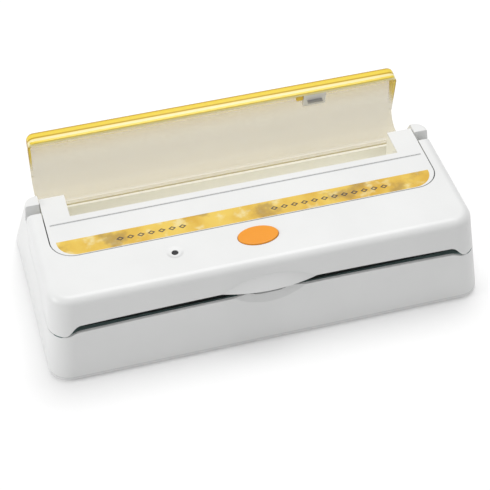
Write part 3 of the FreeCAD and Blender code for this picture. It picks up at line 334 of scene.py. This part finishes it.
# Heater tape
# Woven non-stick tape over the heating bar and its ribbon, which keeps hot film from clinging. It is dark
# grey and faintly ribbed by its weave.
tape_dark = (0.03, 0.034, 0.032, 1)
tape_light = (0.05, 0.055, 0.05, 1)


def woven_tape():
    paint = Paint("woven_tape")
    rib = paint.noise(scale=1600, detail=1, stretch=(1, 0.1, 1))
    color = paint.mix(rib, tape_dark, tape_light)
    return paint.finish(color, roughness=0.5 + 0.1 * rib, normal=paint.bump(rib, depth=0.02 * MM))


dress("heater_tape", woven_tape())


# Pump, hose and transformer
# What works under the deck: a grey moulded pump head and suction nozzle with a milky hose between them, and
# a transformer with a varnished iron core and an enamelled copper coil.
pump_light = (0.16, 0.165, 0.18, 1)
pump_dark = (0.12, 0.125, 0.135, 1)
hose_light = (0.6, 0.6, 0.57, 1)
hose_dark = (0.52, 0.52, 0.49, 1)
iron_light = (0.12, 0.11, 0.1, 1)
iron_dark = (0.06, 0.055, 0.05, 1)
copper_light = (0.5, 0.2, 0.07, 1)
copper_dark = (0.36, 0.13, 0.04, 1)
pump_grey = moulded_plastic("pump_grey", pump_light, pump_dark, roughness=0.45)
for node in ("pump_head", "vacuum_nozzle"):
    dress(node, pump_grey)
dress("vacuum_hose", moulded_plastic("milky_hose", hose_light, hose_dark, roughness=0.4))
dress("transformer_core", metal("varnished_iron", iron_light, iron_dark, roughness=0.4))
dress("transformer_coil", metal("enamelled_copper", copper_light, copper_dark, roughness=0.3))


# Boards
# The control board on the plate's standoffs and the small board in the lid under the button: laminate with
# its parts soldered on, all under one green lacquer.
lacquer_light = (0.02, 0.12, 0.05, 1)
lacquer_dark = (0.015, 0.09, 0.035, 1)
board_green = moulded_plastic("board_green", lacquer_light, lacquer_dark, roughness=0.35)
for node in ("control_board", "lid_board"):
    dress(node, board_green)


# Trim strip
# A thin gold film let into the top of the housing. It is printed with a marbled gold ground and two plain
# runs of small navy lozenges.
deep_gold = (0.72, 0.43, 0.04, 1)
bright_gold = (0.86, 0.6, 0.1, 1)
pale_vein = (0.9, 0.78, 0.4, 1)
brown_wisp = (0.34, 0.21, 0.06, 1)
navy = (0.014, 0.022, 0.05, 1)
lozenge_pitch = 9 * MM
lozenge_row = -27.5 * MM
lozenge_squat = 1.4
lozenge_inner = 1.8 * MM
lozenge_outer = 3.3 * MM
left_run = (-117 * MM, -54 * MM)
right_run = (18 * MM, 126 * MM)


def marbled_gold():
    paint = Paint("marbled_gold")
    cloud = paint.noise(scale=24, detail=5)
    vein = paint.noise(scale=70, detail=6)
    wisp = paint.noise(scale=38, detail=9)
    color = paint.mix(cloud.step(0.38, 0.62), deep_gold, bright_gold)
    color = paint.tint(color, pale_vein, vein.step(0.52, 0.68), strength=0.75)
    color = paint.tint(color, brown_wisp, wisp.step(0.56, 0.68), strength=0.6)
    along = paint.axis(0)
    reach = along.repeat(lozenge_pitch) + (paint.axis(1) - lozenge_row).size() * lozenge_squat
    run = along.between(*left_run) + along.between(*right_run)
    lozenge = reach.between(lozenge_inner, lozenge_outer, soft=0.3 * MM) * run
    color = paint.tint(color, navy, lozenge, strength=0.9)
    return paint.finish(color, roughness=0.3 + 0.1 * cloud, normal=paint.bump(vein, depth=0.01 * MM))


dress("trim_strip", marbled_gold())


# Seal button
# An oval push button in glossy orange plastic, moulded hollow with a stem inside. A flange under the lid's
# skin holds it in its well.
orange_light = (0.95, 0.36, 0.008, 1)
orange_dark = (0.9, 0.32, 0.006, 1)
orange = moulded_plastic("orange_plastic", orange_light, orange_dark, roughness=0.28, grain=2200)
dress("seal_button", orange)


# Button spring
# A small coil of steel wire round the button's stem, from the lid's board up to the cap. The real spring
# shortens as the button goes down; this coil stays fixed on the lid.
hair = 0.001 * MM


def piece_from(mesh, name, material, body, crease=None):
    """Turn a mesh into a smooth piece that rides on a body. Edges past the crease angle stay sharp."""
    for face in mesh.faces:
        face.smooth = True
    data = bpy.data.meshes.new(name)
    mesh.to_mesh(data)
    mesh.free()
    if crease:
        data.set_sharp_from_angle(angle=crease)
    data.materials.append(material)
    piece = bpy.data.objects.new(name, data)
    bpy.context.scene.collection.objects.link(piece)
    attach(piece, body)
    return piece


coil = bmesh.new()
coil.from_mesh(nodes["button_spring"].data)
bmesh.ops.remove_doubles(coil, verts=coil.verts, dist=hair)
button_coil = piece_from(coil, "button_coil", steel, "lid")
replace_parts(button_coil, "button_spring")
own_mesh(button_coil)


# Roll cover
# A clear amber cover, moulded in one piece: sloping top, end walls, bent rear skirt and hinge barrel.
# It stands open on two steel pins, and a slot behind its rim guides the cutter.
cover_pivot = Vector((0, 60.75, 55.5)) * MM
cover_swing = math.radians(79)
cover_crease = math.radians(40)
cover_half = 170 * MM
cover_front = 55.7 * MM
cover_rear = 10 * MM
cover_floor = 31 * MM
cover_rear_top = 35 * MM
cover_slope = 0.2005
square_on = 0.9
cover_corner = 7 * MM
cover_edge = 2.9 * MM
cover_wall = 2.2 * MM
slot_half = 149 * MM
slot_front = 46.6 * MM
slot_rear = 43.6 * MM
skirt_centre = Vector((0, -13.8, 15.96)) * MM
skirt_sweep = math.radians(84.5)
skirt_steps = 8
skirt_tail = Vector((0, -2, -14)) * MM
barrel_radius = 3.5 * MM
barrel_sides = 24
pin_hole_wall = 1.8 * MM
pin_hole_depth = 12.6 * MM
bead_half = 168 * MM
bead_front = 55.6 * MM
bead_rear = 50.4 * MM
bead_height = 5.4 * MM
bead_round = 2.2 * MM


def bevel(mesh, edges, radius, segments):
    bmesh.ops.bevel(mesh, geom=edges, offset=radius, offset_type="OFFSET", segments=segments, profile=0.5,
                    affect="EDGES", clamp_overlap=True, material=-1)


def block(mesh, low, high):
    """A box between two corners."""
    size = Vector(high) - Vector(low)
    middle = (Vector(high) + Vector(low)) / 2
    place = Matrix.Translation(middle) @ Matrix.Diagonal(size.to_4d())
    return bmesh.ops.create_cube(mesh, size=1.0, matrix=place)["verts"]


def swing_open(mesh):
    """Turn a mesh from the closed cover's place, with the pivot at the origin, to the open one."""
    turn = Matrix.Translation(cover_pivot) @ Matrix.Rotation(-cover_swing, 4, "X")
    bmesh.ops.transform(mesh, matrix=turn, verts=mesh.verts)


def tray(mesh):
    """Sloping top, front and end walls as one open sheet with rounded corners and edges."""
    low = (-cover_half, -cover_front, cover_floor)
    high = (cover_half, -cover_rear, cover_rear_top)
    for corner in block(mesh, low, high):
        if corner.co.z > cover_floor + hair:
            corner.co.z = cover_rear_top + (-corner.co.y - cover_rear) * cover_slope
    corners = []
    for edge in mesh.edges:
        one, other = edge.verts
        at_front = max(one.co.y, other.co.y) < -cover_rear - hair
        if at_front and abs(one.co.x - other.co.x) < hair:
            corners.append(edge)
    bevel(mesh, corners, cover_corner, segments=6)
    open_sides = [face for face in mesh.faces if -face.normal.z > square_on or face.normal.y > square_on]
    bmesh.ops.delete(mesh, geom=open_sides, context="FACES")
    top = max(mesh.faces, key=lambda face: face.normal.z)
    bevel(mesh, [edge for edge in top.edges if not edge.is_boundary], cover_edge, segments=4)


def cut_slot(mesh):
    """Cut the cutter's slot through the sheet."""
    cuts = [((slot_half, 0, 0), (1, 0, 0)), ((-slot_half, 0, 0), (1, 0, 0)),
            ((0, -slot_front, 0), (0, 1, 0)), ((0, -slot_rear, 0), (0, 1, 0))]
    for place, normal in cuts:
        whole = mesh.verts[:] + mesh.edges[:] + mesh.faces[:]
        bmesh.ops.bisect_plane(mesh, geom=whole, plane_co=place, plane_no=normal, dist=hair)
    inside = []
    for face in mesh.faces:
        middle = face.calc_center_median()
        if abs(middle.x) < slot_half and -slot_front < middle.y < -slot_rear:
            inside.append(face)
    bmesh.ops.delete(mesh, geom=inside, context="FACES")


def bend_skirt(mesh):
    """Spin the sheet's rear edge down into the skirt and draw its tail out towards the barrel."""
    rear_edge = []
    for edge in mesh.edges:
        at_rear = all(vert.co.y > -cover_rear - hair for vert in edge.verts)
        if edge.is_boundary and at_rear and all(vert.co.z > cover_floor + hair for vert in edge.verts):
            rear_edge.append(edge)
    spun = bmesh.ops.spin(mesh, geom=rear_edge, cent=skirt_centre, axis=(1, 0, 0), angle=-skirt_sweep,
                          steps=skirt_steps)
    last = [part for part in spun["geom_last"] if isinstance(part, bmesh.types.BMEdge)]
    tail = bmesh.ops.extrude_edge_only(mesh, edges=last)["geom"]
    tail_verts = [part for part in tail if isinstance(part, bmesh.types.BMVert)]
    bmesh.ops.translate(mesh, vec=skirt_tail, verts=tail_verts)


def give_wall(mesh):
    """Turn the sheet's faces outwards and give it its thickness."""
    bmesh.ops.remove_doubles(mesh, verts=mesh.verts, dist=hair)
    bmesh.ops.recalc_face_normals(mesh, faces=mesh.faces)
    top = max(mesh.faces, key=lambda face: face.calc_area())
    if top.normal.z < 0:
        bmesh.ops.reverse_faces(mesh, faces=mesh.faces)
    bmesh.ops.solidify(mesh, geom=mesh.faces[:], thickness=cover_wall)


def hinge_barrel(mesh):
    """The round bar along the tail, with a hole for a pin in each end."""
    barrel = bmesh.ops.create_cone(mesh, cap_ends=True, segments=barrel_sides, radius1=barrel_radius,
                                   radius2=barrel_radius, depth=2 * cover_half,
                                   matrix=Matrix.Rotation(math.pi / 2, 4, "Y"))["verts"]
    ends = [face for face in mesh.faces if len(face.verts) == barrel_sides and face.verts[0] in barrel]
    for end in ends:
        bmesh.ops.inset_region(mesh, faces=[end], thickness=pin_hole_wall)
        bmesh.ops.translate(mesh, vec=end.normal * -pin_hole_depth, verts=end.verts)


def cover_sheet():
    mesh = bmesh.new()
    tray(mesh)
    cut_slot(mesh)
    bend_skirt(mesh)
    give_wall(mesh)
    hinge_barrel(mesh)
    swing_open(mesh)
    return mesh


def cover_bead():
    """The thick lip along the cover's rim."""
    mesh = bmesh.new()
    block(mesh, (-bead_half, -bead_front, cover_floor), (bead_half, -bead_rear, cover_floor + bead_height))
    bevel(mesh, mesh.edges[:], bead_round, segments=5)
    swing_open(mesh)
    return mesh


pale_amber = (0.62, 0.5, 0.14, 1)
cloudy_amber = (0.64, 0.52, 0.16, 1)
upper_yellow = (0.92, 0.69, 0.07, 1)
thick_yellow = (0.95, 0.72, 0.08, 1)
highlight_yellow = (0.99, 0.93, 0.55, 1)
edge_shade_brown = (0.48, 0.25, 0.005, 1)
upper_reach = (20 * MM, 49 * MM)
wall_reach = (12 * MM, 40 * MM)
wall_side = (167.2 * MM, 167.8 * MM)
wall_edge = (169 * MM, 169.6 * MM)
rim_reach = (47 * MM, 50.6 * MM)
rim_foot = (49.6 * MM, 50.2 * MM)
bead_highlight = (51.8 * MM, 53.8 * MM)
bead_top = 34 * MM
front_highlight = (33.4 * MM, 35.2 * MM)
front_line = (36.3 * MM, 37.2 * MM)
front_edge = (40.5 * MM, 42 * MM)
tail_rise = 4 * MM
sheet_alpha = 0.33
upper_alpha = 0.11
thick_alpha = 0.5
tail_alpha = 0.15


def amber_plastic():
    """Clear amber plastic: pale over the thin sheet, deep yellow where it is thick, amber along its edges.
    The rim's pale bands are painted highlights, and the dark lines along its edges are painted shade.

    Its pattern is laid out on the closed cover: reach is the way forward of the pivot, rise the height above
    it, and side the way out from the middle.
    """
    paint = Paint("amber_cover")
    closed = paint.node("ShaderNodeMapping", {"vector_type": "TEXTURE"},
                        {"Vector": paint.place, "Location": cover_pivot, "Rotation": (-cover_swing, 0, 0)})
    reach = 0 - paint.axis(1, closed)
    rise = paint.axis(2, closed)
    side = paint.axis(0).size()
    cloud = paint.noise(scale=18, detail=3)
    color = paint.mix(cloud.step(0.3, 0.7), pale_amber, cloudy_amber)
    upper = reach.step(*upper_reach)
    color = paint.tint(color, upper_yellow, upper, strength=0.9)
    wall = side.step(*wall_side) * reach.step(*wall_reach)
    rim = reach.step(*rim_reach)
    thick = wall + rim - wall * rim
    color = paint.tint(color, thick_yellow, thick)
    # Painted highlights: pale bands along the bead's face and the rim's front.
    painted_highlight = reach.between(*bead_highlight, soft=0.9 * MM) * rise.within(bead_top, soft=1 * MM)
    painted_highlight = (painted_highlight + rise.between(*front_highlight, soft=0.9 * MM)) * rim
    color = paint.tint(color, highlight_yellow, painted_highlight, strength=0.8)
    # Painted shade: dark brown lines along the rim and wall edges, where the clear plastic bends light away.
    edge_shade = (rise.between(*front_line, soft=0.5 * MM) + rise.step(*front_edge)) * rim
    edge_shade = edge_shade + 0.8 * reach.between(*rim_foot, soft=0.4 * MM) + side.step(*wall_edge) * wall
    color = paint.tint(color, edge_shade_brown, edge_shade, strength=0.75)
    tail = rise.within(tail_rise, soft=8 * MM)
    alpha = sheet_alpha + upper_alpha * upper + thick_alpha * thick - tail_alpha * tail
    paint.set(paint.surface.inputs["Alpha"], alpha)
    ripple = paint.bump(paint.noise(scale=30), depth=0.05 * MM)
    return paint.finish(color, roughness=0.16 + 0.06 * cloud, normal=ripple, IOR=1.5)


amber = amber_plastic()
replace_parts(piece_from(cover_sheet(), "cover_sheet", amber, "cover", cover_crease), "roll_cover")
piece_from(cover_bead(), "cover_bead", amber, "cover", cover_crease)


# Cutter
# A white slider, its thumb knob behind the cover and a small steel blade between them. An amber guide
# block is clipped to the slider's left end and runs under the cover's lip.
cutter_white = (0.84, 0.84, 0.82, 1)
cutter_grey = (0.8, 0.8, 0.78, 1)
white_cutter = moulded_plastic("white_cutter", cutter_white, cutter_grey, roughness=0.35)
for node in ("cutter_slider", "cutter_knob"):
    dress(node, white_cutter)
guide_low = Vector((75.9, -49, 33.2)) * MM
guide_high = Vector((82.5, -43, 37.2)) * MM
guide_round = 1 * MM
guide_light = (0.9, 0.62, 0.05, 1)
guide_dark = (0.82, 0.52, 0.03, 1)


def guide_block():
    mesh = bmesh.new()
    block(mesh, guide_low, guide_high)
    bevel(mesh, mesh.edges[:], guide_round, segments=3)
    swing_open(mesh)
    return mesh


guide_amber = moulded_plastic("guide_amber", guide_light, guide_dark, roughness=0.25)
piece_from(guide_block(), "cutter_guide", guide_amber, "cutter", cover_crease)


# Floor
# A plain pale sheet under the machine. The camera and reflections see it as near white, and it still takes
# the machine's shadow.
floor_half = 4.0
floor_pale = (0.86, 0.86, 0.86, 1)
floor_glow = 0.2
glow_off = (0, 0, 0, 1)
glow_on = (1, 1, 1, 1)


def pale_floor():
    paint = Paint("pale_floor")
    seen = paint.node("ShaderNodeLightPath", output="Is Camera Ray")
    for ray in ("Is Glossy Ray", "Is Transmission Ray"):
        seen = seen + paint.node("ShaderNodeLightPath", output=ray)
    paint.set(paint.surface.inputs["Emission Color"], paint.mix(seen, glow_off, glow_on))
    paint.surface.inputs["Emission Strength"].default_value = floor_glow
    return paint.finish(floor_pale, roughness=0.6)


sheet_mesh = bmesh.new()
bmesh.ops.create_grid(sheet_mesh, x_segments=1, y_segments=1, size=floor_half)
sheet_data = bpy.data.meshes.new("floor")
sheet_mesh.to_mesh(sheet_data)
sheet_mesh.free()
sheet_data.materials.append(pale_floor())
floor = bpy.data.objects.new("floor", sheet_data)
bpy.context.scene.collection.objects.link(floor)


# Light
# One large soft panel overhead, a second one further off to the left, and an even white room that fills
# the shadows.
aim = Vector((0, 0, 50)) * MM
room_white = (1, 1, 1, 1)
room_strength = 0.49


def panel(name, place, size, power):
    """A round soft lamp that faces the machine."""
    lamp = bpy.data.lights.new(name, "AREA")
    lamp.shape = "DISK"
    lamp.size = size
    lamp.energy = power
    holder = bpy.data.objects.new(name, lamp)
    holder.location = place
    holder.rotation_euler = (aim - Vector(place)).to_track_quat("-Z", "Y").to_euler()
    bpy.context.scene.collection.objects.link(holder)


panel("overhead", place=(0.2, 0.35, 1.45), size=1.1, power=11.4)
panel("left_fill", place=(-2.0, -0.1, 0.9), size=1.0, power=11.5)
world = bpy.data.worlds.new("room")
world.use_nodes = True
room = world.node_tree.nodes["Background"]
room.inputs["Color"].default_value = room_white
room.inputs["Strength"].default_value = room_strength
bpy.context.scene.world = world
bpy.context.scene.view_settings.view_transform = "Standard"


# Camera
# Placed as the photo was taken: above and to the left of the front, with a long lens and a slight tilt.
elevation = math.radians(43.5)
azimuth = math.radians(-14.29)
tilt = math.radians(-1.46)
eye = Vector((-249.1, -988.85, 990.9)) * MM
focal_pixels = 1572
frame_pixels = 490
sensor = 36.0
view_end = 20
level = Vector((math.cos(azimuth), math.sin(azimuth), 0))
back = Vector((math.sin(azimuth) * math.cos(elevation), -math.cos(azimuth) * math.cos(elevation),
               math.sin(elevation)))
upright = back.cross(level)
right = level * math.cos(tilt) + upright * math.sin(tilt)
up = upright * math.cos(tilt) - level * math.sin(tilt)
lens = bpy.data.cameras.new("camera")
lens.sensor_width = sensor
lens.lens = focal_pixels / frame_pixels * sensor
lens.clip_end = view_end
camera = bpy.data.objects.new("camera", lens)
camera.matrix_world = Matrix((right, up, back)).transposed().to_4x4()
camera.location = eye
bpy.context.scene.collection.objects.link(camera)
bpy.context.scene.camera = camera
